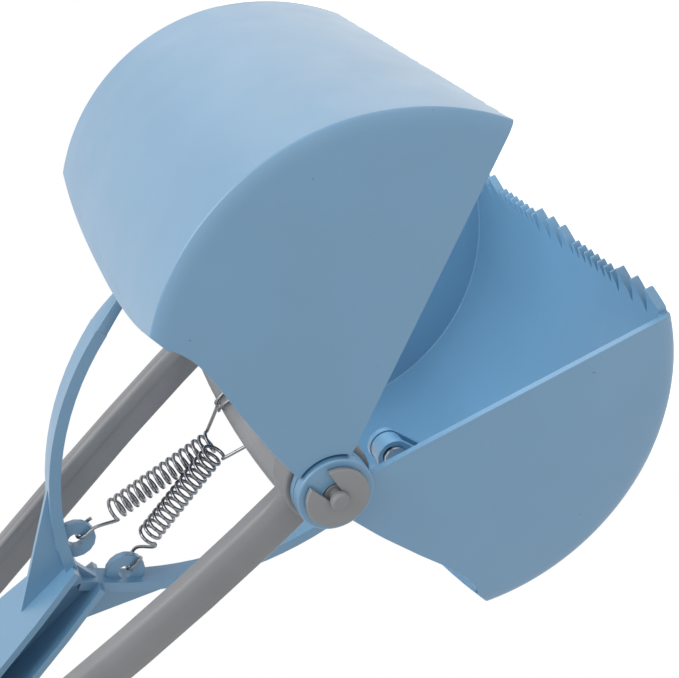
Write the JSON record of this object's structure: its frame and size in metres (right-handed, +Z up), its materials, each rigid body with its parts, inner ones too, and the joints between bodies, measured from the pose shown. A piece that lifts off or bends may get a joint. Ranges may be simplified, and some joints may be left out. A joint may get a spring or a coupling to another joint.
{
  "type": "pooper scooper",
  "caption": "Hand-held waste scooper with toothed blue plastic jaws, a gray frame, a spring-closed pull rod and a loop grip with a finger pull.",
  "frame": {"origin": "middle of the top of the palm grip, where the hand carries the scooper", "axes": "+Z up the shaft from the jaws to the grip, Y along the jaws' hinge line, +X the side that the upper jaw of the picture opens to"},
  "size_m": [0.1906, 0.1524, 0.6136],
  "materials": {
    "blue_plastic": "satin moulded",
    "gray_frame": "satin moulded",
    "gray_clip": "satin moulded",
    "spring_steel": "bright zinc",
    "steel_pin": "satin",
    "grip_rubber": "matt"
  },
  "bodies": {
    "frame": {"frame_rails": "gray_frame", "hinge_pin_near": "gray_frame", "hinge_pin_far": "gray_frame", "hinge_clip_near": "gray_clip", "hinge_clip_far": "gray_clip", "spring_upper": "spring_steel", "spring_lower": "spring_steel", "rod_guide_front": "gray_frame", "rod_guide_back": "gray_frame", "guide_screw_near": "steel_pin", "guide_screw_far": "steel_pin", "handle_front_shell": "gray_frame", "handle_back_shell": "gray_frame", "handle_screw_foot_near": "steel_pin", "handle_screw_foot_far": "steel_pin", "handle_screw_leg_near": "steel_pin", "handle_screw_leg_far": "steel_pin", "handle_screw_palm_near": "steel_pin", "handle_screw_palm_far": "steel_pin", "palm_grip": "grip_rubber"},
    "rod": {"pull_rod": "blue_plastic", "finger_trigger": "blue_plastic", "trigger_screw_near": "steel_pin", "trigger_screw_far": "steel_pin", "upper_arm_pin": "steel_pin", "lower_arm_pin": "steel_pin"},
    "upper_scoop": {"upper_jaw": "blue_plastic"},
    "lower_scoop": {"lower_jaw": "blue_plastic"}
  },
  "joints": [
    {"name": "rod_slide", "type": "slide", "parent": "frame", "child": "rod", "axis": [0, 0, 1], "range_m": [-0.027, 0.0095], "stiffness_N_per_m": 1200, "springref_m": -0.04, "deforming": ["spring_upper", "spring_lower"]},
    {"name": "upper_jaw_hinge", "type": "hinge", "parent": "frame", "child": "upper_scoop", "pos_m": [0, 0, -0.497], "axis": [0, -1, 0], "range_deg": [-22.35, 7.9]},
    {"name": "lower_jaw_hinge", "type": "hinge", "parent": "frame", "child": "lower_scoop", "pos_m": [0, 0, -0.497], "axis": [0, 1, 0], "range_deg": [-22.35, 7.9]}
  ],
  "couplings": [
    {"joint": "upper_jaw_hinge", "follows": "rod_slide", "rad_per_m": 14.415},
    {"joint": "lower_jaw_hinge", "follows": "rod_slide", "rad_per_m": 14.415}
  ]
}
